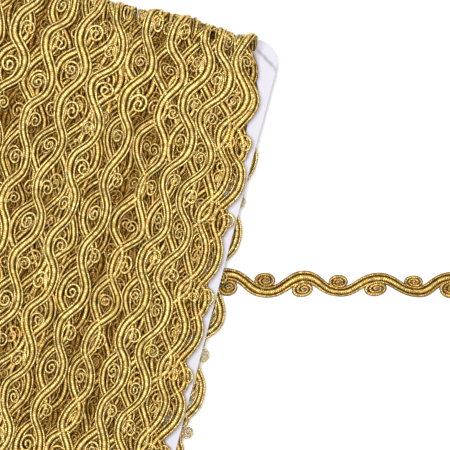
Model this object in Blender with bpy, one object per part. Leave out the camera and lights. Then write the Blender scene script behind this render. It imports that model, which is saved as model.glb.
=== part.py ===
"""Scroll gimp braid trim wound lengthwise round a thin card, with one loose end.

The card lies on its back: X runs along its short side, Y along its long side and Z up
out of its front. The origin is on the surface that it rests on, under the card's middle.
"""

import math
from collections import namedtuple

import bmesh
import bpy
from mathutils import Vector

# Card, a thin board with an ear at each corner and a recess between the ears
CARD_WIDTH = 0.120
CARD_LENGTH = 0.195
CARD_THICK = 0.0012
CARD_CORNER = 0.0082
EAR_WIDTH = 0.009
EAR_CORNER = 0.0006
RECESS_DEPTH = 0.0045
RECESS_CORNER = 0.001
CORNER_STEPS = 6
CREASE_START = Vector((0.052, 0.0935, 0.0))
CREASE_END = Vector((0.060, 0.0885, 0.0))
CREASE_LIFT = math.tan(math.radians(8.0))

# Trim, a wavy band of a thick cord between two thin ones, with a curl in each hollow
WAVE_LENGTH = 0.0288
WAVE_HEIGHT = 0.0029
BAND_HALF = 0.0021
THICK_CORD = 0.0019
THIN_CORD = 0.00105

# Winding, the layers of trim on each face of the card
GAP = 0.0003
BUILD = 0.0048
RIDGE_HALF = 0.0013
RIDGE_RISE = 0.0013
CURL_RISE = 0.0004
LEAN = 0.0275
END_WAVE = 0.6
FAN_LENGTH = 0.045
FACE_STEPS = 42
TURN_STEPS = 6

# Loose end, laid out sideways from under the outermost strand of the back
LOOSE_LENGTH = 0.105
LOOSE_START = Vector((0.0550, 0.0071, 0.0))
LOOSE_ANGLE = math.radians(14.8)
LOOSE_WAVE_LENGTH = 0.0274
LOOSE_WAVE_HEIGHT = 0.0028
LOOSE_FIRST_CREST = 0.0080
CORD_OFFSET = 0.00122
CURL_ALONG = 0.0042
CURL_ACROSS = 0.0025
CURL_CORE = 0.40
CURL_TURNS = 1.1
CURL_STEPS = 14
TAIL_STEPS = 9
WAVE_STEPS = 14
THIN_DROP = 0.0002
FLOOR_CLEARANCE = 0.00003

# Finishes, as base colour, roughness and metallic
BOARD_FINISH = ((0.86, 0.85, 0.89), 0.62, 0.0)
GOLD_FINISH = ((0.72, 0.52, 0.20), 0.38, 0.85)

# How close two places are taken as one
SAME_PLACE = 1e-6

# Levels and reach that follow from the sizes above
CARD_BOTTOM = BUILD + GAP
MIDDLE = CARD_BOTTOM + CARD_THICK / 2
INNER_HALF = CARD_THICK / 2 + GAP
INNER_END = CARD_LENGTH / 2 - RECESS_DEPTH + GAP
FACE_HALF = INNER_END - INNER_HALF
TURN_PHASE = math.pi * (INNER_HALF + BUILD) / WAVE_LENGTH * math.tau

# The strands side by side, measured from the card's middle: where each one crosses the
# recess, its middle line and one of its right-hand crests on either face, and how far
# its ridge lies below the highest ones there.
Strand = namedtuple(
    "Strand", "end front front_crest front_sunk back back_crest back_sunk"
)
STRANDS = (
    Strand(-0.0458, -0.0545, 0.0030, 0.0018, -0.0598, 0.0090, 0.0023),
    Strand(-0.0375, -0.0445, -0.0100, 0.0002, -0.0485, 0.0030, 0.0000),
    Strand(-0.0291, -0.0335, 0.0080, 0.0000, -0.0377, -0.0060, 0.0000),
    Strand(-0.0208, -0.0218, 0.0050, 0.0003, -0.0270, 0.0110, 0.0000),
    Strand(-0.0125, -0.0112, 0.0120, 0.0000, -0.0162, -0.0020, 0.0000),
    Strand(-0.0042, -0.0010, -0.0070, 0.0002, -0.0054, 0.0040, 0.0000),
    Strand(0.0042, 0.0113, -0.0080, 0.0000, 0.0054, 0.0072, 0.0000),
    Strand(0.0125, 0.0220, -0.0085, 0.0007, 0.0162, -0.0100, 0.0000),
    Strand(0.0208, 0.0330, -0.0032, 0.0000, 0.0270, 0.0010, 0.0000),
    Strand(0.0291, 0.0413, -0.0072, 0.0001, 0.0377, 0.0080, 0.0000),
    Strand(0.0375, 0.0497, -0.0128, 0.0008, 0.0485, -0.0068, 0.0000),
    Strand(0.0458, 0.0548, -0.0122, 0.0020, 0.0598, -0.0060, 0.0023),
)


def material(name, colour, roughness, metallic):
    """One plain finish."""
    made = bpy.data.materials.new(name)
    made.use_nodes = True
    shader = made.node_tree.nodes["Principled BSDF"]
    shader.inputs["Base Color"].default_value = (*colour, 1.0)
    shader.inputs["Roughness"].default_value = roughness
    shader.inputs["Metallic"].default_value = metallic
    return made


def object_from(bm, name, finish):
    """Turns a bmesh into a named object in the scene."""
    mesh = bpy.data.meshes.new(name)
    bm.to_mesh(mesh)
    bm.free()
    mesh.materials.append(finish)
    made = bpy.data.objects.new(name, mesh)
    bpy.context.scene.collection.objects.link(made)
    return made


def rounded_corner(before, corner, after, radius):
    """Points of the arc that rounds a corner off."""
    towards = (before - corner).normalized()
    away = (after - corner).normalized()
    half = towards.angle(away) / 2
    reach = radius / math.tan(half)
    centre = corner + (towards + away).normalized() * radius / math.sin(half)
    first = (corner + towards * reach - centre).normalized()
    last = (corner + away * reach - centre).normalized()
    points = []
    for step in range(CORNER_STEPS + 1):
        points.append(centre + first.slerp(last, step / CORNER_STEPS) * radius)
    return points


def card_outline():
    """The card's outline, counterclockwise from its lower right ear."""
    side = CARD_WIDTH / 2
    end = CARD_LENGTH / 2
    notch = side - EAR_WIDTH
    floor = end - RECESS_DEPTH
    right = (
        (notch, -floor, RECESS_CORNER),
        (notch, -end, EAR_CORNER),
        (side, -end, CARD_CORNER),
        (side, end, CARD_CORNER),
        (notch, end, EAR_CORNER),
        (notch, floor, RECESS_CORNER),
    )
    left = tuple((-x, -y, radius) for x, y, radius in right)
    corners = right + left
    points = []
    for number, (x, y, radius) in enumerate(corners):
        before = Vector((*corners[number - 1][:2], 0.0))
        after = Vector((*corners[(number + 1) % len(corners)][:2], 0.0))
        points += rounded_corner(before, Vector((x, y, 0.0)), after, radius)
    return points


def build_card(finish):
    """The card: its outline raised to its thickness, with one ear bent up at a crease."""
    bm = bmesh.new()
    outline = [bm.verts.new(point) for point in card_outline()]
    face = bm.faces.new(outline)
    raised = bmesh.ops.extrude_face_region(bm, geom=[face])
    top = [v for v in raised["geom"] if isinstance(v, bmesh.types.BMVert)]
    bmesh.ops.translate(bm, verts=top, vec=(0.0, 0.0, CARD_THICK))
    bmesh.ops.recalc_face_normals(bm, faces=bm.faces)
    along = (CREASE_END - CREASE_START).normalized()
    across = Vector((-along.y, along.x, 0.0))
    everything = bm.verts[:] + bm.edges[:] + bm.faces[:]
    bmesh.ops.bisect_plane(bm, geom=everything, plane_co=CREASE_START, plane_no=across)
    for vert in bm.verts:
        beyond = across.dot(vert.co - CREASE_START)
        if beyond > 0.0 and vert.co.x > CARD_WIDTH / 2 - EAR_WIDTH - EAR_CORNER:
            vert.co.z += beyond * CREASE_LIFT
    bmesh.ops.translate(bm, verts=bm.verts, vec=(0.0, 0.0, CARD_BOTTOM))
    return object_from(bm, "card", finish)


def fan(y):
    """How far a strand has spread from the recess, from 0 at the ends to 1."""
    inward = (FACE_HALF - abs(y)) / FAN_LENGTH
    return math.sin(math.pi / 2 * min(max(inward, 0.0), 1.0))


def face_phase(y, crest):
    """Where the wave stands at a height on a face: 0 at a right-hand crest."""
    return (y - crest) / WAVE_LENGTH * math.tau


def turn_phase(start, finish, share):
    """The wave's phase round an end of the card, with a whole number of crests."""
    gain = (finish - start - TURN_PHASE + math.pi) % math.tau - math.pi + TURN_PHASE
    return start + gain * share


# A row across the winding: its height on the card, the way it faces as an angle in YZ,
# the share of the end turn that is behind it, and which stretch of the loop it is in.
Station = namedtuple("Station", "stretch y angle share")


def stations():
    """Rows once round the card: up the front, over the top, down the back and under."""
    rows = []
    quarter = math.pi / 2
    for step in range(FACE_STEPS):
        y = FACE_HALF * (2 * step / FACE_STEPS - 1)
        rows.append(Station("front", y, quarter, 0.0))
    for step in range(TURN_STEPS):
        share = step / TURN_STEPS
        rows.append(Station("top", FACE_HALF, quarter - math.pi * share, share))
    for step in range(FACE_STEPS):
        y = FACE_HALF * (1 - 2 * step / FACE_STEPS)
        rows.append(Station("back", y, -quarter, 0.0))
    for step in range(TURN_STEPS):
        share = step / TURN_STEPS
        rows.append(Station("bottom", -FACE_HALF, -quarter - math.pi * share, share))
    return rows


def strand_at(strand, row):
    """Middle, phase and depth of one strand where it crosses a row."""
    front = face_phase(row.y, strand.front_crest)
    back = -face_phase(row.y, strand.back_crest)
    if row.stretch == "front":
        phase, over = front, 0.0
    elif row.stretch == "back":
        phase, over = back, 1.0
    elif row.stretch == "top":
        phase, over = turn_phase(front, back, row.share), row.share
    else:
        phase, over = turn_phase(back, front, row.share), 1.0 - row.share
    middle = strand.front + (strand.back - strand.front) * over
    spread = fan(row.y)
    inner = 1.0 - (strand.end / STRANDS[-1].end) ** 2
    x = strand.end + (middle - strand.end) * spread + LEAN * row.y * inner
    x += WAVE_HEIGHT * (END_WAVE + (1.0 - END_WAVE) * spread) * math.cos(phase)
    sunk = strand.front_sunk + (strand.back_sunk - strand.front_sunk) * over
    return x, phase, sunk


def row_points(row):
    """Points across one row: the foot, flat ridge and other foot of every strand."""
    points = []
    for strand in STRANDS:
        x, phase, sunk = strand_at(strand, row)
        for side in (-1, 1):
            curl = CURL_RISE * max(0.0, -side * math.cos(phase))
            ridge = (x + side * RIDGE_HALF, BUILD - sunk)
            foot = (x + side * BAND_HALF, BUILD - sunk - RIDGE_RISE + curl)
            points += [foot, ridge] if side < 0 else [ridge, foot]
    placed = []
    for x, height in points:
        reach = INNER_HALF + height
        y = row.y + reach * math.cos(row.angle)
        placed.append(Vector((x, y, MIDDLE + reach * math.sin(row.angle))))
    return placed


def inner_point(row, x):
    """The point next to the card that lies inwards from a row's end."""
    level = {
        "front": INNER_HALF,
        "back": -INNER_HALF,
        "top": INNER_HALF * (1 - 2 * row.share),
        "bottom": INNER_HALF * (2 * row.share - 1),
    }[row.stretch]
    y = row.y
    if abs(y) > FACE_HALF - SAME_PLACE:
        y = math.copysign(INNER_END, y)
    return Vector((x, y, MIDDLE + level))


def build_wound_trim(finish):
    """The whole winding as one closed ring round the card, a ridge for each strand."""
    bm = bmesh.new()
    rows = stations()
    outer = []
    inner = []
    for row in rows:
        points = row_points(row)
        outer.append([bm.verts.new(point) for point in points])
        ends = (points[0].x, points[-1].x)
        inner.append([bm.verts.new(inner_point(row, x)) for x in ends])
    for number in range(len(rows)):
        here = outer[number - 1]
        there = outer[number]
        for column in range(len(here) - 1):
            corners = (here[column], here[column + 1], there[column + 1], there[column])
            bm.faces.new(corners)
        for end in (0, -1):
            bm.faces.new((here[end], there[end], inner[number][end], inner[number - 1][end]))
    starts = [0, FACE_STEPS, FACE_STEPS + TURN_STEPS, 2 * FACE_STEPS + TURN_STEPS, len(rows)]
    for first, last in zip(starts, starts[1:]):
        stretch = [inner[number % len(rows)] for number in range(first, last + 1)]
        left = [pair[0] for pair in stretch]
        right = [pair[1] for pair in stretch]
        bm.faces.new(left + right[::-1])
    bmesh.ops.recalc_face_normals(bm, faces=bm.faces)
    return object_from(bm, "wound_trim", finish)


def loose_wave(u):
    """The thick cord's offset and slope across the loose end, u metres along it."""
    phase = (u - LOOSE_FIRST_CREST) / LOOSE_WAVE_LENGTH * math.tau
    offset = LOOSE_WAVE_HEIGHT * math.cos(phase)
    slope = -LOOSE_WAVE_HEIGHT * math.tau / LOOSE_WAVE_LENGTH * math.sin(phase)
    return offset, slope


def beside(u, side):
    """A point of the thin cord that runs along one side of the thick one."""
    offset, slope = loose_wave(u)
    shift = side * CORD_OFFSET / math.hypot(1.0, slope)
    return u - slope * shift, offset + shift


def curl_points(u, side):
    """A thin cord from the core of its curl round outwards and along the next crest."""
    offset, _ = loose_wave(u)
    centre = offset + side * (CORD_OFFSET + CURL_ACROSS)
    points = []
    for step in range(CURL_STEPS + 1):
        left = 1.0 - step / CURL_STEPS
        angle = CURL_TURNS * math.tau * left
        size = 1.0 - (1.0 - CURL_CORE) * left
        along = u - size * CURL_ALONG * math.sin(angle)
        points.append((along, centre - side * size * CURL_ACROSS * math.cos(angle)))
    tail = LOOSE_WAVE_LENGTH - CURL_ALONG - THICK_CORD
    for step in range(1, TAIL_STEPS + 1):
        points.append(beside(u + tail * step / TAIL_STEPS, side))
    return [point for point in points if point[0] < LOOSE_LENGTH - THIN_CORD]


def on_surface(u, v, z):
    """A point of the loose end from its own sizes: along, across and up."""
    along = Vector((math.cos(LOOSE_ANGLE), math.sin(LOOSE_ANGLE), 0.0))
    across = Vector((-along.y, along.x, 0.0))
    return LOOSE_START + along * u + across * v + Vector((0.0, 0.0, z))


def cord_mesh(name, points, diameter, resolution):
    """A closed round cord through points, as a mesh."""
    curve = bpy.data.curves.new(name, "CURVE")
    curve.dimensions = "3D"
    curve.bevel_depth = diameter / 2
    curve.bevel_resolution = resolution
    curve.use_fill_caps = True
    spline = curve.splines.new("POLY")
    spline.points.add(len(points) - 1)
    for place, point in zip(spline.points, points):
        place.co = (*point, 1.0)
    guide = bpy.data.objects.new(name, curve)
    bpy.context.scene.collection.objects.link(guide)
    depsgraph = bpy.context.evaluated_depsgraph_get()
    mesh = bpy.data.meshes.new_from_object(guide.evaluated_get(depsgraph))
    bpy.data.objects.remove(guide)
    bm = bmesh.new()
    bm.from_mesh(mesh)
    bmesh.ops.remove_doubles(bm, verts=bm.verts, dist=SAME_PLACE)
    bmesh.ops.recalc_face_normals(bm, faces=bm.faces)
    bm.to_mesh(mesh)
    bm.free()
    return mesh


def build_loose_end(finish):
    """The loose end: its thick cord with the thin cord of each curl joined to it."""
    steps = round(LOOSE_LENGTH / LOOSE_WAVE_LENGTH * WAVE_STEPS)
    level = THICK_CORD / 2 + FLOOR_CLEARANCE
    route = []
    for step in range(steps + 1):
        u = LOOSE_LENGTH * step / steps
        route.append(on_surface(u, loose_wave(u)[0], level))
    mesh = cord_mesh("loose_end", route, THICK_CORD, 2)
    mesh.materials.clear()
    mesh.materials.append(finish)
    made = bpy.data.objects.new("loose_end", mesh)
    bpy.context.scene.collection.objects.link(made)
    half = LOOSE_WAVE_LENGTH / 2
    margin = CURL_ALONG + THICK_CORD
    for number in range(int(LOOSE_LENGTH / half)):
        u = LOOSE_FIRST_CREST + number * half
        side = 1 if number % 2 else -1
        if not margin < u < LOOSE_LENGTH - margin:
            continue
        points = [on_surface(*place, level - THIN_DROP) for place in curl_points(u, side)]
        mesh = cord_mesh(f"curl_{number}", points, THIN_CORD, 1)
        curl = bpy.data.objects.new(f"curl_{number}", mesh)
        bpy.context.scene.collection.objects.link(curl)
        curl.hide_render = True
        curl.display_type = "WIRE"
        join = made.modifiers.new(f"curl_{number}", "BOOLEAN")
        join.operation = "UNION"
        join.solver = "EXACT"
        join.object = curl
    return made


def main():
    """Clears the scene and builds the card, the winding and its loose end."""
    for old in list(bpy.data.objects):
        bpy.data.objects.remove(old)
    board = material("card_board", *BOARD_FINISH)
    gold = material("gold_thread", *GOLD_FINISH)
    build_card(board)
    build_wound_trim(gold)
    build_loose_end(gold)


main()
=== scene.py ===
"""Scroll gimp braid trim wound on a card: the looks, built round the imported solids.

All places are in metres in the part's own frame: X across the card, Y along it, Z up out
of its front, with the surface that it lies on at Z 0.
"""
import logging
import math
from dataclasses import dataclass
from enum import Enum

import bmesh
import bpy
import numpy as np
from mathutils import Matrix, Vector


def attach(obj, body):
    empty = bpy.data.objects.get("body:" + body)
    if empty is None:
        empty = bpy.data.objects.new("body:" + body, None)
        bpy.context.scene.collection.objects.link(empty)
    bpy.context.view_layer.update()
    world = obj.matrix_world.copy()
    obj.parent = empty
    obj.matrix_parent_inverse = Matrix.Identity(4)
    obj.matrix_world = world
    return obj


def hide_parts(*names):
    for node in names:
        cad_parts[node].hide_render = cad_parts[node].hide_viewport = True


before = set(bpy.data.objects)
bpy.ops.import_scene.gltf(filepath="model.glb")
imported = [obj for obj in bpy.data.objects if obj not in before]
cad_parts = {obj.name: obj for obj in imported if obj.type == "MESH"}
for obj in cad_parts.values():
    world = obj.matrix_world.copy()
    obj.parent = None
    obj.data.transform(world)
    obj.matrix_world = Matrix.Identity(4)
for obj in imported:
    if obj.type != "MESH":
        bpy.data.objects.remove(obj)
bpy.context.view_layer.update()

log = logging.getLogger("trim")

# The card and the winding, as in the part's source
CARD_LENGTH = 0.195
CARD_HALF_WIDTH = 0.060
CARD_THICK = 0.0012
RECESS_DEPTH = 0.0045
GAP = 0.0003
BUILD = 0.0048
FAN_LENGTH = 0.045
LEAN = 0.0275
CREASE_START = (0.052, 0.0935, 0.0)
CREASE_END = (0.060, 0.0885, 0.0)
MIDDLE = BUILD + GAP + CARD_THICK / 2
INNER_HALF = CARD_THICK / 2 + GAP
FACE_HALF = CARD_LENGTH / 2 - RECESS_DEPTH + GAP - INNER_HALF
WIDEST_END = 0.0475
# How wide a strip along the card's long edges is out of the winding's shade
EDGE_FADE = 0.006
# How wide the trim lies, as a share of its own width, by the distance in from an end
GIRTH_PLACES = (0.0, 0.006, 0.018, 0.045)
GIRTH_SHARES = (0.84, 1.02, 1.16, 1.0)
# What makes hand-wound trim uneven: its width, its curls' size and lift, and its path
GIRTH_SWING = 0.07
GIRTH_RATE = 2.3
SIZE_RATES = (12.9898, 3.7)
LIFT = 0.00012
LIFT_RATES = (7.233, 1.9)
DRIFTS = ((0.00040, 1.0), (0.00040, 1.3), (0.00010, 1.7))
DRIFT_WAVE = 0.048
FLOOR_GAP = 0.00002

# The loose end, as in the part's source but for its angle, measured again for the scene
LOOSE_START = Vector((0.0550, 0.0071, 0.0))
LOOSE_ANGLE = math.radians(14.1)
LOOSE_LENGTH = 0.105
LOOSE_REPEAT = 0.0274
LOOSE_FIRST_CREST = 0.0080
LOOSE_BEND = 0.009
# The depth that shades it: this much above a height, and more by a share of the way below
LOOSE_DEPTH = 0.0014
LOOSE_TOP = 0.0021
LOOSE_SHADE = 1.3

# The photograph's frame, for the camera
PICTURE_ACROSS = 0.162
PICTURE_MIDDLE = (0.0564, 0.0294)
PICTURE_TURN = math.radians(14.8)

TAU = math.tau
NOISE_MIDDLE = (0.35, 0.65)
NOISE_WIDE = (0.3, 0.7)
MERGE = 1e-6


class Bend(Enum):
    """Where the trim runs round an end of the card."""

    UNDER = "round the lower end"
    OVER = "round the upper end"


@dataclass(frozen=True)
class GoldThread:
    """Cord wrapped in fine gold metallic thread; painted highlight on top, painted shade in
    hollows.
    """

    name: str = "gold_thread"
    # bright is a painted highlight along the cords' tops; brown and dark are painted shade on
    # their sides
    bright: tuple[float, float, float] = (0.93, 0.73, 0.33)
    gold: tuple[float, float, float] = (0.86, 0.57, 0.12)
    brown: tuple[float, float, float] = (0.50, 0.285, 0.016)
    dark: tuple[float, float, float] = (0.145, 0.080, 0.004)
    # deepest: the depth in the winding at which the painted shade of the hollows is darkest
    deepest: float = 0.0048
    roughness: tuple[float, float] = (0.48, 0.26)
    metallic: float = 0.75
    haze: float = 0.10
    rib_height: float = 0.00005
    rib_strength: float = 1.0
    # Painted shade in the grooves between the thread's turns, and painted light on their ridges
    rib_shading_tones: tuple[float, float] = (0.70, 1.14)
    spark_size: float = 0.00028
    spark_tones: tuple[float, float] = (0.72, 1.20)
    spark_rise: float = 0.8
    clump_size: float = 0.0015
    clump_tones: tuple[float, float] = (0.62, 1.24)
    patch_size: float = 0.0045

    def build(self) -> bpy.types.Material:
        """Makes the finish's nodes.

        Returns:
            The material, which reads the UV map "thread", the attributes "depth" and
            "flank", and Object coordinates.
        """
        made = bpy.data.materials.new(self.name)
        made.use_nodes = True
        tree = Nodes(made)
        shader = tree.shader
        shader.inputs["Metallic"].default_value = self.metallic
        shader.inputs["Specular IOR Level"].default_value = self.haze

        uv = tree.add("ShaderNodeUVMap", uv_map="thread")
        parts = tree.add("ShaderNodeSeparateXYZ")
        tree.link(uv.outputs["UV"], parts.inputs["Vector"])
        # Painted highlight along each cord's top and underside, painted shade on its sides,
        # darker on the thick cord's sides by its flank
        top = tree.maths("SINE", tree.maths("MULTIPLY", parts.outputs["Y"], TAU))
        top = tree.maths("ABSOLUTE", top)
        flank = tree.add("ShaderNodeAttribute", attribute_name="flank")
        aside = tree.maths("MULTIPLY", tree.maths("SUBTRACT", 1.0, top), flank.outputs["Fac"])
        cord_highlight_and_shade = tree.ramp(
            tree.maths("SUBTRACT", top, aside),
            (
                (0.25, self.dark),
                (0.60, self.brown),
                (0.84, self.gold),
                (0.985, self.bright),
            ),
        )
        # Painted shade: the deeper a point lies in the winding, the darker it is painted
        depth = tree.add("ShaderNodeAttribute", attribute_name="depth")
        shade = tree.ramp(
            tree.maths("DIVIDE", depth.outputs["Fac"], self.deepest),
            (
                (0.16, (1.0, 1.0, 1.0)),
                (0.40, (0.86, 0.79, 0.66)),
                (0.62, (0.42, 0.32, 0.19)),
                (0.95, (0.15, 0.10, 0.06)),
            ),
        )
        colour = tree.mix_colour("MULTIPLY", cord_highlight_and_shade, shade)
        place = tree.add("ShaderNodeTexCoord").outputs["Object"]
        tints = tree.ramp(
            tree.noise(place, 1 / self.patch_size, 2.0),
            (
                (0.30, (0.92, 0.86, 0.62)),
                (0.48, (1.00, 1.00, 1.00)),
                (0.62, (1.00, 0.95, 0.90)),
                (0.75, (1.00, 0.88, 0.86)),
            ),
        )
        colour = tree.mix_colour("MULTIPLY", colour, tints)

        sparks = tree.noise(place, 1 / self.spark_size, 1.0)
        tones = tree.remap(sparks, NOISE_MIDDLE, self.spark_tones)
        colour = tree.mix_colour("MULTIPLY", colour, tones)
        clumps = tree.noise(place, 1 / self.clump_size, 1.0)
        tones = tree.remap(clumps, NOISE_MIDDLE, self.clump_tones)
        colour = tree.mix_colour("MULTIPLY", colour, tones)
        # Painted shade in the grooves between the thread's turns, painted light on their ridges
        wrap = tree.maths("ADD", parts.outputs["X"], parts.outputs["Y"])
        wave = tree.maths("SINE", tree.maths("MULTIPLY", wrap, TAU))
        rib_shading = tree.remap(wave, (-1.0, 1.0), self.rib_shading_tones)
        colour = tree.mix_colour("MULTIPLY", colour, rib_shading)
        tree.link(colour, shader.inputs["Base Color"])

        glints = tree.remap(sparks, NOISE_WIDE, (-self.spark_rise, self.spark_rise))
        tree.bump(tree.maths("ADD", wave, glints), self.rib_strength, self.rib_height)
        rough = tree.remap(sparks, NOISE_WIDE, self.roughness)
        tree.link(rough, shader.inputs["Roughness"])
        return made


@dataclass(frozen=True)
class CardBoard:
    """Thin white board with a faint lavender cast and one crease, a grey line of painted shade.
    """

    name: str = "card_board"
    white: tuple[float, float, float] = (0.52, 0.505, 0.55)
    shade: tuple[float, float, float] = (0.48, 0.465, 0.52)
    shadow: tuple[float, float, float] = (0.10, 0.055, 0.02)
    crease: tuple[float, float, float] = (0.24, 0.23, 0.27)
    crease_width: float = 0.0009
    crease_depth: float = 0.85
    crease_wander: float = 0.0003
    wander_size: float = 0.002
    ear_inside: tuple[float, float] = (0.048, 0.050)
    cloud: float = 0.025
    fibre: float = 0.0006
    fibre_rise: float = 0.00004
    fibre_strength: float = 0.25
    roughness: float = 0.55

    def build(self) -> bpy.types.Material:
        """Makes the finish's nodes.

        Returns:
            The material, which reads Object coordinates.
        """
        made = bpy.data.materials.new(self.name)
        made.use_nodes = True
        tree = Nodes(made)
        shader = tree.shader
        shader.inputs["Roughness"].default_value = self.roughness
        place = tree.add("ShaderNodeTexCoord").outputs["Object"]
        clouds = tree.remap(tree.noise(place, 1 / self.cloud, 3.0), NOISE_WIDE, (0.0, 1.0))
        base = tree.mix_colour("MIX", self.shade, self.white, clouds)

        # The crease is a grey line of painted shade, drawn only near the ear
        start = Vector(CREASE_START)
        along = (Vector(CREASE_END) - start).normalized()
        across = Vector((-along.y, along.x, 0.0))
        offset = tree.dot(place, across)
        away = tree.maths("ABSOLUTE", tree.maths("SUBTRACT", offset, across.dot(start)))
        wander = (-self.crease_wander, self.crease_wander)
        wander = tree.remap(tree.noise(place, 1 / self.wander_size, 2.0), NOISE_WIDE, wander)
        away = tree.maths("ADD", away, wander)
        line = tree.remap(away, (0.0, self.crease_width), (self.crease_depth, 0.0))
        parts = tree.add("ShaderNodeSeparateXYZ")
        tree.link(place, parts.inputs["Vector"])
        ear = tree.remap(parts.outputs["X"], self.ear_inside, (0.0, 1.0))
        line = tree.maths("MULTIPLY", line, ear)
        reach = tree.maths("ABSOLUTE", parts.outputs["X"])
        lit = tree.remap(reach, (WIDEST_END, CARD_HALF_WIDTH - EDGE_FADE), (0.0, 1.0))
        board = tree.mix_colour("MIX", base, self.crease, line)
        board = tree.mix_colour("MIX", self.shadow, board, lit)
        tree.link(board, shader.inputs["Base Color"])

        fibres = tree.noise(place, 1 / self.fibre, 3.0)
        tree.bump(fibres, self.fibre_strength, self.fibre_rise)
        return made


@dataclass(frozen=True)
class PaleFloor:
    """The plain white surface that the part lies on."""

    name: str = "pale_floor"
    colour: tuple[float, float, float] = (0.92, 0.92, 0.92)
    roughness: float = 0.9

    def build(self) -> bpy.types.Material:
        """Makes the plain finish.

        Returns:
            The material.
        """
        made = bpy.data.materials.new(self.name)
        made.use_nodes = True
        shader = Nodes(made).shader
        shader.inputs["Base Color"].default_value = (*self.colour, 1.0)
        shader.inputs["Roughness"].default_value = self.roughness
        return made


class Nodes:
    """Short ways to add and join the nodes of one material."""

    MIX_FIRST = 6
    MIX_SECOND = 7
    MIX_RESULT = 2

    def __init__(self, material: bpy.types.Material) -> None:
        """Takes the material's node tree and its shader."""
        self.tree = material.node_tree
        self.shader = self.tree.nodes["Principled BSDF"]

    def add(self, kind: str, **settings: object) -> bpy.types.Node:
        """Adds a node.

        Args:
            kind: Blender's name for the node.
            settings: Values of the node's own properties.

        Returns:
            The new node.
        """
        node = self.tree.nodes.new(kind)
        for name, value in settings.items():
            setattr(node, name, value)
        return node

    def link(self, source: bpy.types.NodeSocket, target: bpy.types.NodeSocket) -> None:
        """Joins an output to an input."""
        self.tree.links.new(source, target)

    def feed(self, value: object, target: bpy.types.NodeSocket) -> None:
        """Links a socket to an input, or sets a plain value on it.

        Args:
            value: The socket, number or colour.
            target: The input.
        """
        if isinstance(value, bpy.types.NodeSocket):
            self.link(value, target)
        elif isinstance(value, tuple) and len(value) == 3 and target.type == "RGBA":
            target.default_value = (*value, 1.0)
        else:
            target.default_value = value

    def maths(self, operation: str, first: object, second: object = 0.0) -> bpy.types.NodeSocket:
        """Adds a Math node.

        Args:
            operation: Blender's name for what it does.
            first: Its first socket or number.
            second: Its second one, where it takes two.

        Returns:
            Its result.
        """
        node = self.add("ShaderNodeMath", operation=operation)
        self.feed(first, node.inputs[0])
        self.feed(second, node.inputs[1])
        return node.outputs[0]

    def dot(self, vector: bpy.types.NodeSocket, other: Vector) -> bpy.types.NodeSocket:
        """The dot product of a vector socket and a fixed vector.

        Args:
            vector: The socket.
            other: The fixed vector.

        Returns:
            The product.
        """
        node = self.add("ShaderNodeVectorMath", operation="DOT_PRODUCT")
        self.link(vector, node.inputs[0])
        node.inputs[1].default_value = other
        return node.outputs["Value"]

    def noise(
        self, place: bpy.types.NodeSocket, scale: float, detail: float
    ) -> bpy.types.NodeSocket:
        """Adds soft noise.

        Args:
            place: The coordinates that it follows.
            scale: How many features it has to the metre.
            detail: How many finer layers it has.

        Returns:
            The noise, which lies round 0.5.
        """
        node = self.add("ShaderNodeTexNoise")
        node.inputs["Scale"].default_value = scale
        node.inputs["Detail"].default_value = detail
        self.link(place, node.inputs["Vector"])
        return node.outputs["Fac"]

    def remap(
        self,
        value: bpy.types.NodeSocket,
        source: tuple[float, float],
        target: tuple[float, float],
    ) -> bpy.types.NodeSocket:
        """Maps a range onto another and clamps it.

        Args:
            value: What is mapped.
            source: The range that it lies in.
            target: The range that it is brought to.

        Returns:
            The mapped value.
        """
        node = self.add("ShaderNodeMapRange")
        self.link(value, node.inputs["Value"])
        names = ("From Min", "From Max", "To Min", "To Max")
        for name, number in zip(names, source + target):
            node.inputs[name].default_value = number
        return node.outputs["Result"]

    def bump(self, height: bpy.types.NodeSocket, strength: float, distance: float) -> None:
        """Raises the finish's relief.

        Args:
            height: How high each point of it is.
            strength: How much of it shows, up to 1.
            distance: How far a height of 1 stands out.
        """
        node = self.add("ShaderNodeBump")
        node.inputs["Strength"].default_value = strength
        node.inputs["Distance"].default_value = distance
        self.link(height, node.inputs["Height"])
        self.link(node.outputs["Normal"], self.shader.inputs["Normal"])

    def ramp(
        self,
        value: bpy.types.NodeSocket,
        stops: tuple[tuple[float, tuple[float, float, float]], ...],
    ) -> bpy.types.NodeSocket:
        """Adds a colour ramp.

        Args:
            value: What runs along the ramp.
            stops: A position and a colour for each stop.

        Returns:
            The ramp's colour.
        """
        node = self.add("ShaderNodeValToRGB")
        points = node.color_ramp.elements
        while len(points) < len(stops):
            points.new(1.0)
        for point, (position, colour) in zip(points, stops):
            point.position = position
            point.color = (*colour, 1.0)
        self.link(value, node.inputs["Fac"])
        return node.outputs["Color"]

    def mix_colour(
        self, blend: str, first: object, second: object, share: object = 1.0
    ) -> bpy.types.NodeSocket:
        """Mixes two colours.

        Args:
            blend: Blender's name for the way that they mix.
            first: The colour underneath.
            second: The colour on top.
            share: How much of the second one counts.

        Returns:
            The mixed colour.
        """
        node = self.add("ShaderNodeMix", data_type="RGBA", blend_type=blend)
        self.feed(share, node.inputs["Factor"])
        self.feed(first, node.inputs[self.MIX_FIRST])
        self.feed(second, node.inputs[self.MIX_SECOND])
        return node.outputs[self.MIX_RESULT]


@dataclass(frozen=True)
class Detail:
    """How finely the cords of a layer are made."""

    thick_sides: int
    thick_steps: int
    thin_sides: int
    curl_steps: int
    tail_steps: int


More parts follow.
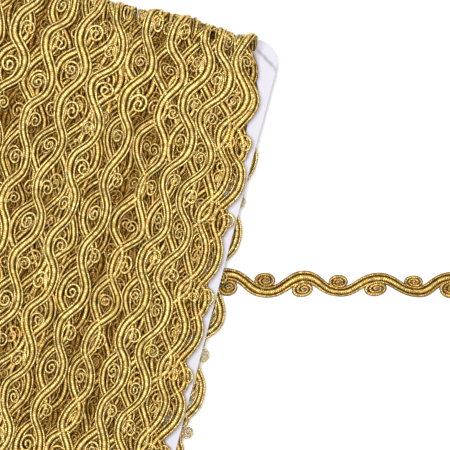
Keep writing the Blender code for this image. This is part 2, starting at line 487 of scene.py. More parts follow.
@dataclass(frozen=True)
class ScrollPattern:
    """One repeat of the trim laid flat: u runs along it, v across it and w up.

    A thick cord waves from side to side. In each of its hollows a thin cord makes a curl,
    whose tail then runs on along the outer side of the next bulge. Flank is how much painted
    shade darkens the thick cord's sides, and the curls' size and spread are shares of a curl.
    """

    repeat: float = 0.0288
    wave: float = 0.0029
    fullness: float = 0.05
    thick: float = 0.00185
    thin: float = 0.00095
    offset: float = 0.00138
    bulge: float = 0.00005
    nest: float = 0.00040
    nest_share: float = 0.16
    overlap: float = 1.06
    curl_along: float = 0.0031
    curl_across: float = 0.0025
    core: float = 0.12
    turns: float = 1.65
    thin_drop: float = 0.00015
    curl_drop: float = 0.00015
    end_drop: float = 0.00060
    end_from: float = 0.82
    end_over: float = 0.12
    wrap_pitch: float = 0.00074
    bead: float = 0.0
    flank: float = 0.45
    curl_size: float = 0.95
    curl_spread: float = 0.17

    def wave_at(self, u: float) -> tuple[float, float]:
        """Follows the thick cord's wave.

        Args:
            u: A place along the trim.

        Returns:
            The wave's offset and slope there.
        """
        phase = u / self.repeat * TAU
        height = self.wave / (1.0 - self.fullness)
        offset = height * (math.cos(phase) - self.fullness * math.cos(3 * phase))
        rise = -math.sin(phase) + 3 * self.fullness * math.sin(3 * phase)
        return offset, height * TAU / self.repeat * rise

    def thick_route(self, steps: int) -> list[Vector]:
        """Middle line of the thick cord over one repeat and a step beyond either end.

        Args:
            steps: How many steps the repeat has.

        Returns:
            The points.
        """
        route = []
        for step in range(-1, steps + 2):
            u = self.repeat * step / steps
            route.append(Vector((u, self.wave_at(u)[0], 0.0)))
        return route

    def thin_route(self, side: int, detail: Detail) -> tuple[list[Vector], int]:
        """Middle line of the thin cord on one side, from the core of its curl.

        Args:
            side: 1 for the side of positive v, -1 for the other.
            detail: How finely it is made.

        Returns:
            The points, and how many of them belong to the curl.
        """
        start = self.repeat / 2 if side > 0 else 0.0
        near = self.wave_at(start)[0] + side * (self.offset + self.nest)
        centre = near + side * self.curl_across
        route = []
        for step in range(detail.curl_steps + 1):
            left = 1.0 - step / detail.curl_steps
            angle = self.turns * TAU * left
            size = 1.0 - (1.0 - self.core) * left
            u = start - size * self.curl_along * math.sin(angle)
            v = centre - side * size * self.curl_across * math.cos(angle)
            drop = self.thin_drop + self.curl_drop * min(1.0, 2.0 * left)
            route.append(Vector((u, v, -drop)))
        curled = len(route)
        for step in range(1, detail.tail_steps + 1):
            share = step / detail.tail_steps
            u = start + self.repeat * self.overlap * share
            offset, slope = self.wave_at(u)
            away = self.offset + self.nest * (1.0 - ease(share / self.nest_share))
            away += self.bulge * max(0.0, side * offset / self.wave)
            shift = side * away / math.hypot(1.0, slope)
            sink = self.thin_drop + self.end_drop * ease((share - self.end_from) / self.end_over)
            route.append(Vector((u - slope * shift, offset + shift, -sink)))
        return route, curled

    def build(self, detail: Detail) -> bpy.types.Mesh:
        """Models one repeat.

        Args:
            detail: How finely it is made.

        Returns:
            A mesh with the UV map "thread", the attribute "curl", which is 1 or -1 on the
            curl of that side and 0 elsewhere, and the attribute "flank", which says how
            much painted shade darkens the thick cord's sides.
        """
        bm = bmesh.new()
        layers = CordLayers(
            bm.verts.layers.float.new("along"),
            bm.verts.layers.float.new("around"),
            bm.verts.layers.float.new("curl"),
            bm.verts.layers.float.new("flank"),
        )
        route = self.thick_route(detail.thick_steps)
        length = sum((b - a).length for a, b in zip(route[1:-1], route[2:-1]))
        whole = round(length / self.wrap_pitch) * self.wrap_pitch
        beads = Beads(whole / length, self.wrap_pitch, self.bead)
        rings = sweep(bm, layers, route, self.thick / 2, detail.thick_sides, beads, False)
        for vert in (vert for ring in rings for vert in ring):
            # Painted shade on the thick cord's sides
            vert[layers.flank] = self.flank
        beads = Beads(1.0, self.wrap_pitch, self.bead)
        for side in (1, -1):
            route, curled = self.thin_route(side, detail)
            rings = sweep(bm, layers, route, self.thin / 2, detail.thin_sides, beads, True)
            for ring in rings[:curled]:
                for vert in ring:
                    vert[layers.curl] = side
        self.lay_thread(bm, layers)
        mesh = bpy.data.meshes.new("trim_repeat")
        bm.to_mesh(mesh)
        bm.free()
        return mesh

    def lay_thread(self, bm: bmesh.types.BMesh, layers: "CordLayers") -> None:
        """Writes the UV map that the wrapped thread follows, in turns of thread.

        Args:
            bm: The mesh of the repeat.
            layers: Where its vertices keep their place on a cord.
        """
        uv = bm.loops.layers.uv.new("thread")
        for face in bm.faces:
            around = [loop.vert[layers.around] for loop in face.loops]
            wraps = max(around) - min(around) > 0.5
            for loop, turn in zip(face.loops, around):
                if wraps and turn < 0.5:
                    turn += 1.0
                loop[uv].uv = (loop.vert[layers.along] / self.wrap_pitch, turn)


@dataclass(frozen=True)
class CordLayers:
    """Where a cord's vertices keep their place on it."""

    along: bmesh.types.BMLayerItem
    around: bmesh.types.BMLayerItem
    curl: bmesh.types.BMLayerItem
    flank: bmesh.types.BMLayerItem


@dataclass(frozen=True)
class Beads:
    """How the wrapped thread swells a cord, turn by turn.

    Stretch is what the thread's length is multiplied by, and swell the share of the radius
    by which each turn of thread stands out.
    """

    stretch: float
    pitch: float
    swell: float

    def size(self, length: float) -> float:
        """The cord's size, as a share of its own radius, at a length along it."""
        return 1.0 + self.swell * math.sin(TAU * length * self.stretch / self.pitch)


def ring_frame(point: Vector, along: Vector) -> Matrix:
    """The frame of a cord's cross-section: X sideways, Y up and Z along the cord.

    Args:
        point: The section's middle.
        along: The way that the cord runs there.

    Returns:
        The frame's matrix.
    """
    along = along.normalized()
    aside = Vector((0.0, 0.0, 1.0)).cross(along).normalized()
    up = along.cross(aside)
    made = Matrix((aside, up, along)).transposed().to_4x4()
    made.translation = point
    return made


def sweep(
    bm: bmesh.types.BMesh,
    layers: CordLayers,
    route: list[Vector],
    radius: float,
    sides: int,
    beads: Beads,
    capped: bool,
) -> list[list[bmesh.types.BMVert]]:
    """Draws a round cord along a route by extruding a ring from point to point.

    Args:
        bm: The mesh that it goes into.
        layers: Where its vertices keep their place on it.
        route: Its middle line. If it isn't capped, the first and last points only aim it.
        radius: Its radius.
        sides: How many sides it has.
        beads: How its thread swells it.
        capped: Whether its ends are closed.

    Returns:
        Its rings of vertices.
    """
    places = []
    for number, point in enumerate(route):
        before = route[max(number - 1, 0)]
        after = route[min(number + 1, len(route) - 1)]
        places.append(ring_frame(point, after - before))
    if not capped:
        places = places[1:-1]
        route = route[1:-1]
    ring = bmesh.ops.create_circle(
        bm, cap_ends=False, radius=radius, segments=sides, matrix=places[0]
    )["verts"]
    edges = list(dict.fromkeys(e for v in ring for e in v.link_edges))
    rings = [ring]
    for number in range(1, len(route)):
        grown = bmesh.ops.extrude_edge_only(bm, edges=edges)["geom"]
        moved = [v for v in grown if isinstance(v, bmesh.types.BMVert)]
        edges = [e for e in grown if isinstance(e, bmesh.types.BMEdge)]
        step = places[number] @ places[number - 1].inverted()
        bmesh.ops.transform(bm, matrix=step, verts=moved)
        rings.append(moved)
    length = 0.0
    for number, ring in enumerate(rings):
        if number:
            length += (route[number] - route[number - 1]).length
        back = places[number].inverted()
        for vert in ring:
            local = back @ vert.co
            vert.co = places[number] @ (local * beads.size(length))
            vert[layers.along] = length * beads.stretch
            vert[layers.around] = (math.atan2(local.y, local.x) / TAU) % 1.0
    if capped:
        bmesh.ops.contextual_create(bm, geom=rings[0])
        bmesh.ops.contextual_create(bm, geom=rings[-1])
    return rings


def trim_length(
    repeat_mesh: bpy.types.Mesh, pattern: ScrollPattern, first: float, last: float, cut: bool
) -> bpy.types.Mesh:
    """A straight length of flat trim between two places along it.

    Args:
        repeat_mesh: One repeat of the trim.
        pattern: Its pattern.
        first: Where the length begins, in repeats.
        last: Where it ends, in repeats.
        cut: Whether its ends are cut square. Otherwise they are at whole repeats.

    Returns:
        The new mesh.
    """
    margin = 1 if cut else 0
    start = math.floor(first) - margin
    count = math.ceil(last) + margin - start
    guide = bpy.data.objects.new("trim_guide", repeat_mesh)
    bpy.context.scene.collection.objects.link(guide)
    array = guide.modifiers.new("repeats", "ARRAY")
    array.count = count
    array.use_relative_offset = False
    array.use_constant_offset = True
    array.constant_offset_displace = (pattern.repeat, 0.0, 0.0)
    array.use_merge_vertices = True
    array.merge_threshold = MERGE
    depsgraph = bpy.context.evaluated_depsgraph_get()
    mesh = bpy.data.meshes.new_from_object(guide.evaluated_get(depsgraph))
    bpy.data.objects.remove(guide)
    bm = bmesh.new()
    bm.from_mesh(mesh)
    bmesh.ops.translate(bm, verts=bm.verts, vec=(start * pattern.repeat, 0.0, 0.0))
    if cut:
        for place, facing in ((first, -1.0), (last, 1.0)):
            bmesh.ops.bisect_plane(
                bm,
                geom=bm.verts[:] + bm.edges[:] + bm.faces[:],
                plane_co=(place * pattern.repeat, 0.0, 0.0),
                plane_no=(facing, 0.0, 0.0),
                clear_outer=True,
            )
    bmesh.ops.holes_fill(bm, edges=[e for e in bm.edges if e.is_boundary], sides=0)
    bmesh.ops.recalc_face_normals(bm, faces=bm.faces)
    bm.to_mesh(mesh)
    bm.free()
    mesh.shade_smooth()
    return mesh


@dataclass(frozen=True)
class Turn:
    """One turn of trim round the card: where it lies on either face.

    The crests are the heights of one bulge towards +X. Sunk is how far the turn lies below
    the level of its layer, slack how far it stands off at the ends, and bow how far it
    bends aside in the front's upper half.
    """

    front: float
    front_crest: float
    back: float
    back_crest: float
    front_sunk: float = 0.0
    back_sunk: float = 0.0
    slack: float = 0.0010
    bow: float = 0.0


@dataclass
class Route:
    """A sampled middle line with its frame, by the trim's place in repeats."""

    place: list[float]
    point: list[Vector]
    outward: list[Vector]

    def frames(self) -> tuple[np.ndarray, np.ndarray, np.ndarray, np.ndarray]:
        """Squares each sample's outward to the way that the route runs.

        Returns:
            Place, point, across and outward, each as an array.
        """
        place = np.array(self.place)
        point = np.array([tuple(p) for p in self.point])
        outward = np.array([tuple(n) for n in self.outward])
        along = np.gradient(point, axis=0)
        along /= np.linalg.norm(along, axis=1)[:, None]
        outward -= along * np.sum(along * outward, axis=1)[:, None]
        outward /= np.linalg.norm(outward, axis=1)[:, None]
        return place, point, np.cross(outward, along), outward


def fan(y: float) -> float:
    """How far a strand has spread from the recess, from 0 at the ends to 1."""
    inward = (FACE_HALF - abs(y)) / FAN_LENGTH
    return math.sin(math.pi / 2 * min(max(inward, 0.0), 1.0))


def ease(share: float) -> float:
    """A smooth step from 0 to 1."""
    share = min(max(share, 0.0), 1.0)
    return share * share * (3.0 - 2.0 * share)


@dataclass
class WoundLayer:
    """One layer of turns, which is one run of trim round and round the card."""

    name: str
    turns: tuple[Turn, ...]
    level: float
    detail: Detail
    pattern: ScrollPattern
    seed: int
    leaves: bool = False
    pieces: int = 1
    face_steps: int = 48
    turn_steps: int = 12
    hidden: float = 0.036
    first_margin: float = 0.2
    last_margin: float = 0.7
    bow_span: float = 0.08

    def end_places(self) -> list[float]:
        """Where each turn crosses the recess, which draws the turns together a little."""
        widest = max(abs(turn.front) for turn in self.turns)
        return [turn.front * WIDEST_END / widest for turn in self.turns]

    def lean(self, end: float, y: float) -> float:
        """How far a strand that crosses the recess at end leans at a height."""
        return LEAN * y * (1.0 - (end / WIDEST_END) ** 2)

    def route(self) -> Route:
        """Follows the trim down the front and up the back, turn by turn.

        Returns:
            The route, whose places rise by one for each repeat.
        """
        ends = self.end_places()
        made = Route([], [], [])
        place = self.lead_in(made, self.turns[0], ends[0])
        for number, turn in enumerate(self.turns):
            end = ends[number]
            following = ends[min(number + 1, len(ends) - 1)]
            place = self.down_front(made, turn, end, place)
            low = end + self.lean(end, -FACE_HALF)
            place = self.round_end(made, Bend.UNDER, turn, turn, low, place)
            if self.leaves and number == len(self.turns) - 1:
                self.leave(made, low, place)
                break
            high = following + self.lean(following, FACE_HALF)
            place = self.up_back(made, turn, low, high, place)
            after = self.turns[min(number + 1, len(ends) - 1)]
            place = self.round_end(made, Bend.OVER, turn, after, high, place)
        if not self.leaves:
            self.lead_out(made, ends[-1], place)
        return made

    def lead_in(self, made: Route, turn: Turn, end: float) -> float:
        """Begins under the other turns on the back and runs over the upper end.

        Args:
            made: The route so far.
            turn: The first turn.
            end: Where it crosses the recess.

        Returns:
            The place at the front's top.
        """
        high = end + self.lean(end, FACE_HALF)
        start = (turn.front_crest - FACE_HALF) / self.pattern.repeat
        start -= math.pi * (INNER_HALF + self.level) / self.pattern.repeat
        for step in range(self.turn_steps):
            y = FACE_HALF - self.hidden * (1 - step / self.turn_steps)
            here = start - (FACE_HALF - y) / self.pattern.repeat
            self.put(made, here, high, y, -math.pi / 2, self.level)
        return self.round_end(made, Bend.OVER, turn, turn, high, start)

    def lead_out(self, made: Route, end: float, place: float) -> None:
        """Ends under the other turns on the front.

        Args:
            made: The route so far.
            end: Where the last turn crosses the recess.
            place: Its place at the front's top.
        """
        for step in range(self.turn_steps + 1):
            y = FACE_HALF - self.hidden * step / self.turn_steps
            x = end + self.lean(end, y)
            here = place + (FACE_HALF - y) / self.pattern.repeat
            self.put(made, here, x, y, math.pi / 2, self.level)

    @staticmethod
    def meet(place: float, target: float) -> float:
        """The nearest place to one that shows the target's part of the repeat."""
        return target + round(place - target)

    def put(
        self, made: Route, place: float, x: float, y: float, angle: float, height: float
    ) -> None:
        """Adds a sample over a point of the card's middle plane.

        Args:
            made: The route so far.
            place: Its place along the trim, in repeats.
            x: Where the point is across the card.
            y: Where the point is along the card.
            angle: The way that the sample stands off it, in YZ.
            height: How high it lies over the card.
        """
        outward = Vector((0.0, math.cos(angle), math.sin(angle)))
        reach = INNER_HALF + height
        made.place.append(place)
        made.point.append(Vector((x, y, MIDDLE)) + outward * reach)
        made.outward.append(outward)

    def down_front(self, made: Route, turn: Turn, end: float, place: float) -> float:
        """Runs down the front.

        Args:
            made: The route so far.
            turn: The turn that it runs along.
            end: Where the turn crosses the recess.
            place: Its place at the top.

        Returns:
            The place at the foot.
        """
        for step in range(self.face_steps):
            y = FACE_HALF * (1 - 2 * step / self.face_steps)
            x = end + (turn.front - end) * fan(y) + self.lean(end, y)
            x += turn.bow * fan(y) * ease(0.5 + y / self.bow_span)
            here = place + (FACE_HALF - y) / self.pattern.repeat
            self.put(made, here, x, y, math.pi / 2, self.level - turn.front_sunk * fan(y))
        return place + 2 * FACE_HALF / self.pattern.repeat

    def up_back(self, made: Route, turn: Turn, low: float, high: float, place: float) -> float:
        """Runs up the back.

        Args:
            made: The route so far.
            turn: The turn that it runs along.
            low: Where the turn crosses the lower end.
            high: Where it crosses the upper end.
            place: Its place at the foot.

        Returns:
            The place at the top.
        """
        target = (-FACE_HALF - turn.back_crest) / self.pattern.repeat
        place = self.meet(place, target)
        for step in range(self.face_steps):
            share = step / self.face_steps
            y = FACE_HALF * (2 * share - 1)
            middle = (low + high) / 2
            x = low + (high - low) * share + (turn.back - middle) * fan(y)
            here = place + (y + FACE_HALF) / self.pattern.repeat
            self.put(made, here, x, y, -math.pi / 2, self.level - turn.back_sunk * fan(y))
        return place + 2 * FACE_HALF / self.pattern.repeat

    def round_end(
        self, made: Route, bend: Bend, turn: Turn, after: Turn, x: float, place: float
    ) -> float:
        """Runs round an end of the card.

        Args:
            made: The route so far.
            bend: Which end it is.
            turn: The turn that it ends.
            after: The turn that it begins, or the same one.
            x: Where it crosses the card's width.
            place: Its place as it reaches the end.

        Returns:
            The place behind the end.
        """
        under = bend is Bend.UNDER
        arc = math.pi * (INNER_HALF + self.level) / self.pattern.repeat
        if under:
            target = (-FACE_HALF - turn.back_crest) / self.pattern.repeat
        else:
            target = (after.front_crest - FACE_HALF) / self.pattern.repeat
        reached = self.meet(place + arc, target)
        y = -FACE_HALF if under else FACE_HALF
        start = math.pi / 2 if under else -math.pi / 2
        for step in range(self.turn_steps):
            share = step / self.turn_steps
            here = place + (reached - place) * share
            height = self.level + after.slack * math.sin(math.pi * share)
            self.put(made, here, x, y, start + math.pi * share, height)
        return reached

    def leave(self, made: Route, low: float, place: float) -> None:
        """Runs up the back and bends aside to where the loose end begins.

        Args:
            made: The route so far.
            low: Where it crosses the card's lower end.
            place: Its place there.
        """
        sweep_angle = math.pi / 2 - LOOSE_ANGLE
        x_bend = LOOSE_START.x - LOOSE_BEND * (1 - math.cos(sweep_angle))
        y_bend = LOOSE_START.y - LOOSE_BEND * math.sin(sweep_angle)
        length = y_bend + FACE_HALF + LOOSE_BEND * sweep_angle
        reached = self.meet(
            place + length / self.pattern.repeat, 0.5 - LOOSE_FIRST_CREST / LOOSE_REPEAT
        )
        rate = (reached - place) / length
        for step in range(self.face_steps):
            y = -FACE_HALF + (y_bend + FACE_HALF) * step / self.face_steps
            x = low + (x_bend - low) * fan(y)
            here = place + (y + FACE_HALF) * rate
            self.put(made, here, x, y, -math.pi / 2, self.level)
        for step in range(self.turn_steps + 1):
            angle = sweep_angle * step / self.turn_steps
            x = x_bend + LOOSE_BEND * (1 - math.cos(angle))
            y = y_bend + LOOSE_BEND * math.sin(angle)
            here = reached - (sweep_angle - angle) * LOOSE_BEND * rate
            self.put(made, here, x, y, -math.pi / 2, self.level)

    def build(self, finish: bpy.types.Material) -> list[bpy.types.Object]:
        """Winds the layer.

        Args:
            finish: The thread's material.

        Returns:
            Its pieces, from the first turn to the last.
        """
        route = self.route()
        repeat_mesh = self.pattern.build(self.detail)
        first = math.ceil(route.place[0] + self.first_margin)
        last = route.place[-1]
        if not self.leaves:
            last = math.floor(last - self.last_margin)
        bounds = [
            round(first + (last - first) * number / self.pieces) for number in range(self.pieces)
        ] + [last]
        made = []
        for number, (start, stop) in enumerate(zip(bounds, bounds[1:])):
            is_last = number == self.pieces - 1
            mesh = trim_length(repeat_mesh, self.pattern, start, stop, self.leaves and is_last)
            vary_curls(mesh, self.pattern, self.seed)
            wrap_on_route(mesh, self.pattern, route, True)
            made.append(piece_from(f"{self.name}_{number + 1}", mesh, finish))
        return made


def vary_curls(mesh: bpy.types.Mesh, pattern: ScrollPattern, seed: int) -> None:
    """Makes each curl of a flat length a little larger or smaller than the next.

    Args:
        mesh: The flat length.
        pattern: Its pattern.
        seed: What makes this length unlike the others.
    """
    count = len(mesh.vertices)
    flat = np.zeros(count * 3)
    mesh.vertices.foreach_get("co", flat)
    flat = flat.reshape(-1, 3)
    side = np.zeros(count, np.float32)
    mesh.attributes["curl"].data.foreach_get("value", side)
    for sign in (1, -1):
        curled = side * sign > 0.5
        start = pattern.repeat / 2 if sign > 0 else 0.0
        number = np.round((flat[curled, 0] - start) / pattern.repeat)
        pivot_u = number * pattern.repeat + start
        pivot_v = sign * (pattern.offset + pattern.nest - pattern.wave)
        swing = np.sin(number * SIZE_RATES[0] + seed * SIZE_RATES[1] + sign)
        size = pattern.curl_size + pattern.curl_spread * swing
        flat[curled, 0] = pivot_u + (flat[curled, 0] - pivot_u) * size
        flat[curled, 1] = pivot_v + (flat[curled, 1] - pivot_v) * size
        flat[curled, 2] += LIFT * np.sin(number * LIFT_RATES[0] + seed * LIFT_RATES[1])
    mesh.vertices.foreach_set("co", flat.ravel())


def wrap_on_route(
    mesh: bpy.types.Mesh, pattern: ScrollPattern, route: Route, wound: bool
) -> None:
    """Bends a flat length of trim onto a route and keeps how deep each point lies.

    Args:
        mesh: The flat length.
        pattern: Its pattern.
        route: Where it runs.
        wound: Whether it is in the winding. Otherwise only its own height shades it.
    """
    count = len(mesh.vertices)
    flat = np.zeros(count * 3)
    mesh.vertices.foreach_get("co", flat)
    flat = flat.reshape(-1, 3)
    place, point, across, outward = route.frames()
    here = flat[:, 0] / pattern.repeat
    lowest, highest = place[0], place[-1]
    inside = np.clip(here, lowest, highest)
    bent = np.zeros_like(flat)
    inward = FACE_HALF - np.abs(np.interp(inside, place, point[:, 1]))
    width = flat[:, 1].copy()
    if wound:
        width *= np.interp(inward, GIRTH_PLACES, GIRTH_SHARES)
        width *= 1.0 + GIRTH_SWING * np.sin(here * GIRTH_RATE)
    for axis in range(3):
        base = np.interp(inside, place, point[:, axis])
        aside = np.interp(inside, place, across[:, axis])
        up = np.interp(inside, place, outward[:, axis])
        bent[:, axis] = base + width * aside + flat[:, 2] * up
    bent += drift(bent)
    bent[:, 2] = np.maximum(bent[:, 2], FLOOR_GAP)
    mesh.vertices.foreach_set("co", bent.ravel())
    # Depth below the winding's outer skin, which the thread's finish turns into painted shade; it
    # fades out near the card's long edges, and for the loose end it follows its height
    beyond = np.maximum(np.abs(bent[:, 1]) - FACE_HALF, 0.0)
    reach = np.hypot(beyond, bent[:, 2] - MIDDLE)
    if wound:
        deep = np.maximum(INNER_HALF + BUILD - reach, 0.0)
        deep *= np.clip((CARD_HALF_WIDTH - np.abs(bent[:, 0])) / EDGE_FADE, 0.0, 1.0)
    else:
        deep = LOOSE_DEPTH + LOOSE_SHADE * np.maximum(LOOSE_TOP - bent[:, 2], 0.0)
    depth = mesh.attributes.new("depth", "FLOAT", "POINT")
    depth.data.foreach_set("value", deep.astype(np.float32))
    mesh.update()


def drift(points: np.ndarray) -> np.ndarray:
    """Small slow wanderings that make hand-wound trim uneven.

    Args:
        points: The points, with a row for each.

    Returns:
        How far each point moves.
    """
    moved = np.zeros_like(points)
    for axis, (size, waves) in enumerate(DRIFTS):
        x, y, z = (points[:, other] * TAU / DRIFT_WAVE * waves for other in range(3))
        moved[:, axis] = size * (np.sin(x + 1.3 * y + axis) + np.sin(1.7 * y - 0.8 * x + z))
    return moved


def piece_from(name: str, mesh: bpy.types.Mesh, finish: bpy.types.Material) -> bpy.types.Object:
    """Puts a finished mesh in the scene as a piece of the object.

    Args:
        name: The piece's name.
        mesh: Its mesh.
        finish: Its material.

    Returns:
        The piece.
    """
    mesh.name = name
    mesh.materials.clear()
    mesh.materials.append(finish)
    made = bpy.data.objects.new(name, mesh)
    bpy.context.scene.collection.objects.link(made)
    triangles = sum(len(face.vertices) - 2 for face in mesh.polygons)
    log.info("%s: %d vertices, %d triangles", name, len(mesh.vertices), triangles)
    return made


@dataclass
class PressedTurns:
    """The innermost turns, pressed together into one ridged sleeve round the card."""

    level: float = 0.0011
    half_width: float = 0.0532
    ridge: float = 0.0017
    relief: float = 0.00035
    wall: float = 0.0004
    drawn_in: float = 0.86
    wave: float = 0.0020
    columns: int = 132
    rows: int = 150
    pitch: float = 0.00074

    def build(self, finish: bpy.types.Material) -> bpy.types.Object:
        """Bends a ridged sheet into a sleeve.

        Args:
            finish: The thread's material.

        Returns:
            The piece.
        """
        bm = bmesh.new()
        bmesh.ops.create_grid(bm, x_segments=self.rows, y_segments=self.columns, size=0.5)
        uv = bm.loops.layers.uv.new("thread")
        reach = INNER_HALF + self.level
        length = 4 * FACE_HALF + TAU * reach
        waves = round(length / ScrollPattern.repeat)
        for face in bm.faces:
            for loop in face.loops:
                run, across = loop.vert.co.x + 0.5, self.across(loop.vert.co, waves)
                loop[uv].uv = (run * length / self.pitch, across / self.ridge / 2)
        depth = bm.verts.layers.float.new("depth")
        for vert in bm.verts:
            rise = self.relief * abs(math.sin(math.pi * self.across(vert.co, waves) / self.ridge))
            x = 2 * self.half_width * vert.co.y
            y, outward = self.around((vert.co.x + 0.5) * length, reach)
            x *= self.drawn_in + (1.0 - self.drawn_in) * fan(y)
            lean = LEAN * y * (1.0 - (x / self.half_width) ** 2)
            vert.co = Vector((x + lean, y, MIDDLE)) + outward * (reach + rise)
            # Its depth paints the sleeve in the darkest shade of the winding, lighter on its
            # ridges
            vert[depth] = BUILD - self.level - rise
        bmesh.ops.remove_doubles(bm, verts=bm.verts, dist=MERGE)
        bmesh.ops.recalc_face_normals(bm, faces=bm.faces)
        bmesh.ops.solidify(bm, geom=bm.faces, thickness=self.wall)
        bmesh.ops.recalc_face_normals(bm, faces=bm.faces)
        mesh = bpy.data.meshes.new("pressed_turns")
        bm.to_mesh(mesh)
        bm.free()
        mesh.shade_smooth()
        return piece_from("pressed_turns", mesh, finish)

    def across(self, flat: Vector, waves: int) -> float:
        """Where a point of the flat sheet lies across the wavy ridges."""
        return 2 * self.half_width * flat.y + self.wave * math.sin(TAU * waves * flat.x)

    @staticmethod
    def around(run: float, reach: float) -> tuple[float, Vector]:
        """Follows the sleeve round the card.

        Args:
            run: A length round the card, from the front's foot.
            reach: How far the sleeve lies from the card's middle plane.

        Returns:
            Where that is along the card, and the outward direction there.
        """
        straight = 2 * FACE_HALF
        arc = math.pi * reach
        if run < straight:
            return run - FACE_HALF, Vector((0.0, 0.0, 1.0))
        if run < straight + arc:
            angle = math.pi / 2 - (run - straight) / reach
            return FACE_HALF, Vector((0.0, math.cos(angle), math.sin(angle)))
        if run < 2 * straight + arc:
            return FACE_HALF - (run - straight - arc), Vector((0.0, 0.0, -1.0))
        angle = -math.pi / 2 - (run - 2 * straight - arc) / reach
        return -FACE_HALF, Vector((0.0, math.cos(angle), math.sin(angle)))


@dataclass
class LooseEnd:
    """The trim's free end, laid out sideways on the surface."""

    pattern: ScrollPattern
    detail: Detail
    level: float
    seed: int = 5
    steps: int = 40

    def route(self) -> Route:
        """Runs straight out to the right from where the last turn leaves off.

        Returns:
            The route.
        """
        along = Vector((math.cos(LOOSE_ANGLE), math.sin(LOOSE_ANGLE), 0.0))
        made = Route([], [], [])
        for step in range(self.steps + 1):
            u = LOOSE_LENGTH * step / self.steps
            made.place.append((u - LOOSE_FIRST_CREST) / LOOSE_REPEAT + 0.5)
            made.point.append(LOOSE_START + along * u + Vector((0.0, 0.0, self.level)))
            made.outward.append(Vector((0.0, 0.0, -1.0)))
        return made

    def build(self, finish: bpy.types.Material) -> bpy.types.Object:
        """Args:
            finish: The thread's material.

        Returns:
            The piece.
        """
        route = self.route()
        mesh = trim_length(
            self.pattern.build(self.detail), self.pattern, route.place[0], route.place[-1], True
        )
        vary_curls(mesh, self.pattern, self.seed)
        wrap_on_route(mesh, self.pattern, route, False)
        made = piece_from("loose_trim", mesh, finish)
        return made


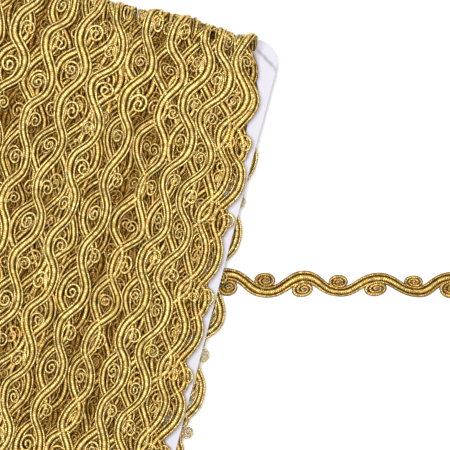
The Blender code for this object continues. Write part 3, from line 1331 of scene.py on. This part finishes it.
@dataclass
class WoundTrim:
    """The whole winding: four layers of turns, the sleeve under them and the loose end."""

    finish: bpy.types.Material
    layer_step: float = 0.0010
    crest_step: float = 2.3
    back_spread: float = 1.06

    def layers(self) -> tuple[WoundLayer, ...]:
        """Places the turns, the outer ones as the photograph shows them.

        Returns:
            The layers, from the outermost to the one next to the card.
        """
        pattern = ScrollPattern()
        outer = (
            Turn(-0.0445, -0.0100, -0.0485, 0.0030, 0.0002),
            Turn(-0.0335, 0.0080, -0.0377, -0.0060),
            Turn(-0.0218, 0.0050, -0.0270, 0.0110, 0.0003),
            Turn(-0.0112, 0.0120, -0.0162, -0.0020),
            Turn(-0.0010, -0.0070, -0.0054, 0.0040, 0.0002),
            Turn(0.0113, -0.0080, 0.0054, 0.0072),
            Turn(0.0220, -0.0085, 0.0162, -0.0100, 0.0007, bow=0.0030),
            Turn(0.0330, -0.0032, 0.0270, 0.0010),
            Turn(0.0413, -0.0072, 0.0377, 0.0080),
            Turn(0.0497, -0.0128, 0.0485, -0.0068, 0.0008, slack=0.0020),
        )
        middle = (
            Turn(0.0548, -0.0122, 0.0598, -0.0040, 0.0006, 0.0009, slack=0.0020),
            Turn(0.0470, 0.0060, 0.0485, 0.0070),
            Turn(0.0390, 0.0100, 0.0430, 0.0010),
            Turn(0.0315, 0.0095, 0.0350, -0.0040),
            Turn(0.0205, 0.0065, 0.0270, 0.0120),
            Turn(0.0090, 0.0070, 0.0162, 0.0020),
            Turn(0.0015, 0.0120, 0.0054, -0.0090),
            Turn(-0.0060, 0.0000, -0.0020, 0.0050),
            Turn(-0.0150, -0.0040, -0.0110, 0.0100),
            Turn(-0.0260, -0.0080, -0.0215, 0.0130),
            Turn(-0.0370, -0.0060, -0.0320, -0.0030),
            Turn(-0.0470, 0.0060, -0.0430, 0.0090),
            Turn(-0.0545, 0.0030, -0.0598, 0.0090, 0.0006, 0.0009, slack=0.0020),
        )
        lower = self.even_turns(17, 0.0530, front=2.4, back=1.7, slack=0.0027)
        inner = self.even_turns(21, -0.0515, front=1.9, back=2.9, slack=0.0042)
        half = pattern.thick / 2
        top = BUILD - half
        under = top - self.layer_step
        lowest = top - 2 * self.layer_step
        fine, fair = Detail(10, 28, 8, 26, 18), Detail(8, 22, 6, 20, 14)
        plain, rough = Detail(7, 18, 5, 16, 11), Detail(6, 14, 4, 12, 9)
        return (
            WoundLayer("outer_turns", outer, top, fine, pattern, 1, leaves=True, pieces=3),
            WoundLayer("middle_turns", middle, under, fair, pattern, 2, pieces=2),
            WoundLayer("lower_turns", lower, lowest, plain, pattern, 3, pieces=2),
            WoundLayer("inner_turns", inner, half, rough, pattern, 4, pieces=2),
        )

    def even_turns(
        self, count: int, widest: float, front: float, back: float, slack: float
    ) -> tuple[Turn, ...]:
        """Evenly spaced turns of a hidden layer, with scattered crests.

        Args:
            count: How many turns.
            widest: How far the outermost ones lie from the card's middle.
            front: How the crests of the front scatter.
            back: How the crests of the back scatter.
            slack: How far the turns stand off at the ends.

        Returns:
            The turns, side by side.
        """
        made = []
        reach = ScrollPattern.repeat / 2
        for number in range(count):
            place = widest * (1.0 - 2.0 * number / (count - 1))
            crest = reach * math.sin(number * front * self.crest_step)
            back_crest = reach * math.sin(number * back * self.crest_step)
            made.append(Turn(place, crest, place * self.back_spread, back_crest, slack=slack))
        return tuple(made)

    @staticmethod
    def loose_pattern() -> ScrollPattern:
        """The trim where nothing presses it: its curls are full and lie a little higher.

        Returns:
            The pattern.
        """
        return ScrollPattern(
            wave=0.0025,
            thick=0.0020,
            thin=0.0012,
            offset=0.00157,
            bulge=0.0,
            nest=-0.00015,
            curl_along=0.0037,
            curl_across=0.0024,
            core=0.06,
            turns=2.6,
            thin_drop=-0.00030,
            curl_drop=-0.00010,
            end_drop=-0.00040,
            wrap_pitch=0.00080,
            bead=0.07,
            flank=0.20,
            curl_size=1.08,
            curl_spread=0.03,
        )

    def build(self) -> list[bpy.types.Object]:
        """Winds every layer and lays the loose end out.

        Returns:
            All their pieces.
        """
        made = []
        for layer in self.layers():
            made += layer.build(self.finish)
        made.append(PressedTurns().build(self.finish))
        loose = LooseEnd(self.loose_pattern(), Detail(12, 144, 8, 110, 136), level=0.00103)
        made.append(loose.build(self.finish))
        return made


@dataclass
class Studio:
    """A pale floor, plain soft light and the camera of the photograph."""

    lens: float = 150.0
    sensor: float = 36.0
    floor_half: float = 3.0
    key_place: tuple[float, float, float] = (-0.05, 0.11, 0.8)
    key_size: float = 0.6
    key_power: float = 10.0
    sky: float = 0.31

    def build(self) -> None:
        """Sets up the floor, lights and camera."""
        bm = bmesh.new()
        bmesh.ops.create_grid(bm, x_segments=1, y_segments=1, size=self.floor_half)
        mesh = bpy.data.meshes.new("floor")
        bm.to_mesh(mesh)
        bm.free()
        mesh.materials.append(PaleFloor().build())
        floor = bpy.data.objects.new("floor", mesh)
        bpy.context.scene.collection.objects.link(floor)

        world = bpy.data.worlds.new("studio")
        world.use_nodes = True
        background = world.node_tree.nodes["Background"]
        background.inputs["Color"].default_value = (1.0, 1.0, 1.0, 1.0)
        background.inputs["Strength"].default_value = self.sky
        bpy.context.scene.world = world
        self.hang_lamp()
        bpy.context.scene.view_settings.view_transform = "Standard"
        self.place_camera()

    def hang_lamp(self) -> None:
        """Hangs the square soft light, which looks at the part."""
        data = bpy.data.lights.new("key", "AREA")
        data.size = self.key_size
        data.energy = self.key_power
        made = bpy.data.objects.new("key", data)
        made.location = self.key_place
        aim = Vector((*PICTURE_MIDDLE, 0.0)) - Vector(self.key_place)
        made.rotation_euler = aim.to_track_quat("-Z", "Y").to_euler()
        bpy.context.scene.collection.objects.link(made)

    def place_camera(self) -> None:
        """Puts the camera straight over the part, turned as the photograph is."""
        data = bpy.data.cameras.new("camera")
        data.lens = self.lens
        data.sensor_width = self.sensor
        made = bpy.data.objects.new("camera", data)
        reach = PICTURE_ACROSS / 2 * self.lens / (self.sensor / 2)
        made.location = (*PICTURE_MIDDLE, reach + 2 * MIDDLE)
        made.rotation_euler = (0.0, 0.0, PICTURE_TURN)
        bpy.context.scene.collection.objects.link(made)
        bpy.context.scene.camera = made


def main() -> None:
    """Builds the studio, the card and the winding, and hands each piece to the frame."""
    logging.basicConfig(level=logging.INFO, format="%(message)s")
    Studio().build()
    gold = GoldThread().build()
    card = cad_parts["card"]
    card.data.materials.clear()
    card.data.materials.append(CardBoard().build())
    for piece in WoundTrim(gold).build():
        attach(piece, "root")
        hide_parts("loose_end" if piece.name == "loose_trim" else "wound_trim")


if __name__ == "__main__":
    main()
